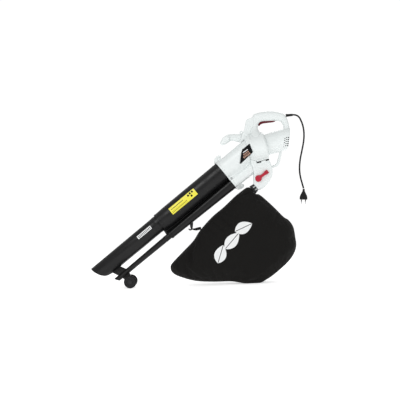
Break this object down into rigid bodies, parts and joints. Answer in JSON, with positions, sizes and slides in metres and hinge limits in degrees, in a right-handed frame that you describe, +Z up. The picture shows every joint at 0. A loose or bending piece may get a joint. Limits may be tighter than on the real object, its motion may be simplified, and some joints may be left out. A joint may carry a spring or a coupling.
{
  "type": "leaf blower",
  "caption": "Corded electric leaf blower and vacuum with twin black tubes, white motor housing with top handle, wheels under the nozzle and a hanging debris bag.",
  "frame": {"origin": "centre of the footprint on the ground, below the middle of the machine without its cord", "axes": "+X from the nozzle tip towards the bag and cord end, +Y across the machine, away from the selector lever, +Z up"},
  "size_m": [1.0405, 0.17, 0.8087],
  "materials": {
    "white_plastic": "satin moulded",
    "black_plastic": "satin moulded",
    "inner_plastic": "matt moulded",
    "red_plastic": "gloss moulded",
    "black_rubber": "matt",
    "bag_cloth": "woven polyester",
    "steel": "bright",
    "laminated_iron": "laminated",
    "brass": "bright",
    "badge_black": "gloss print",
    "label_yellow": "gloss print",
    "label_white": "gloss print"
  },
  "bodies": {
    "blower": {"lower_suction_tube": "black_plastic", "lower_blow_tube": "black_plastic", "upper_tube": "black_plastic", "tube_bracket_lower": "black_plastic", "tube_bracket_upper": "black_plastic", "inlet_duct": "white_plastic", "fan_cover_front": "white_plastic", "fan_casing": "white_plastic", "outlet_gasket": "black_rubber", "housing_left": "white_plastic", "housing_right": "white_plastic", "bag_adapter": "white_plastic", "rear_brace": "white_plastic", "front_handle": "white_plastic", "strap_eye": "white_plastic", "stator": "laminated_iron", "motor_support_front": "inner_plastic", "motor_support_rear": "inner_plastic", "bearing_front": "steel", "bearing_rear": "steel", "bearing_bracket": "inner_plastic", "brush_holder_left": "brass", "brush_holder_right": "brass", "power_switch": "inner_plastic", "cord_clamp": "inner_plastic", "trigger_pin": "steel", "latch_upper_pin": "steel", "latch_lower_pin": "steel", "strain_relief": "black_rubber", "power_cord": "black_rubber", "plug_body": "black_rubber", "plug_pin_front": "steel", "plug_pin_rear": "steel", "bag_collar": "black_plastic", "debris_bag": "bag_cloth", "bag_hook": "black_plastic", "bag_strap": "bag_cloth", "wheel_bracket": "black_plastic", "wheel_axle": "steel", "axle_clip_left": "steel", "axle_clip_right": "steel", "badge_plate": "badge_black", "tube_label_upper": "label_yellow", "tube_label_lower": "label_white", "duct_screw": "steel"},
    "trigger": {"trigger": "red_plastic"},
    "selector": {"selector_lever": "red_plastic", "selector_shaft": "inner_plastic", "diverter_flap": "inner_plastic"},
    "rotor": {"impeller": "inner_plastic", "impeller_nut": "steel", "motor_shaft": "steel", "armature": "laminated_iron", "commutator": "brass"},
    "wheel_left": {"wheel_left": "black_plastic"},
    "wheel_right": {"wheel_right": "black_plastic"},
    "latch_upper": {"latch_upper": "white_plastic"},
    "latch_lower": {"latch_lower": "white_plastic"}
  },
  "joints": [
    {"name": "trigger_squeeze", "type": "hinge", "parent": "blower", "child": "trigger", "pos_m": [0.408, 0, 0.768], "axis": [0, 1, 0], "range_deg": [0, 7], "stiffness_Nm_per_rad": 0.5, "springref_deg": -11.46},
    {"name": "selector_turn", "type": "hinge", "parent": "blower", "child": "selector", "pos_m": [0.3215, 0, 0.4919], "axis": [0, 1, 0], "range_deg": [0, 90]},
    {"name": "rotor_spin", "type": "hinge", "parent": "blower", "child": "rotor", "pos_m": [0.3725, 0, 0.653], "axis": [0.9744, 0, 0.225], "continuous": true},
    {"name": "wheel_left_spin", "type": "hinge", "parent": "blower", "child": "wheel_left", "pos_m": [-0.3023, -0.045, 0.03], "axis": [0, 1, 0], "continuous": true},
    {"name": "wheel_right_spin", "type": "hinge", "parent": "blower", "child": "wheel_right", "pos_m": [-0.3023, 0.045, 0.03], "axis": [0, 1, 0], "continuous": true},
    {"name": "latch_upper_lift", "type": "hinge", "parent": "blower", "child": "latch_upper", "pos_m": [0.13883, 0, 0.59412], "axis": [0, 1, 0], "range_deg": [0, 20], "stiffness_Nm_per_rad": 0.2, "springref_deg": -17.19},
    {"name": "latch_lower_drop", "type": "hinge", "parent": "blower", "child": "latch_lower", "pos_m": [0.24063, 0, 0.46098], "axis": [0, -1, 0], "range_deg": [0, 20], "stiffness_Nm_per_rad": 0.2, "springref_deg": -17.19}
  ]
}
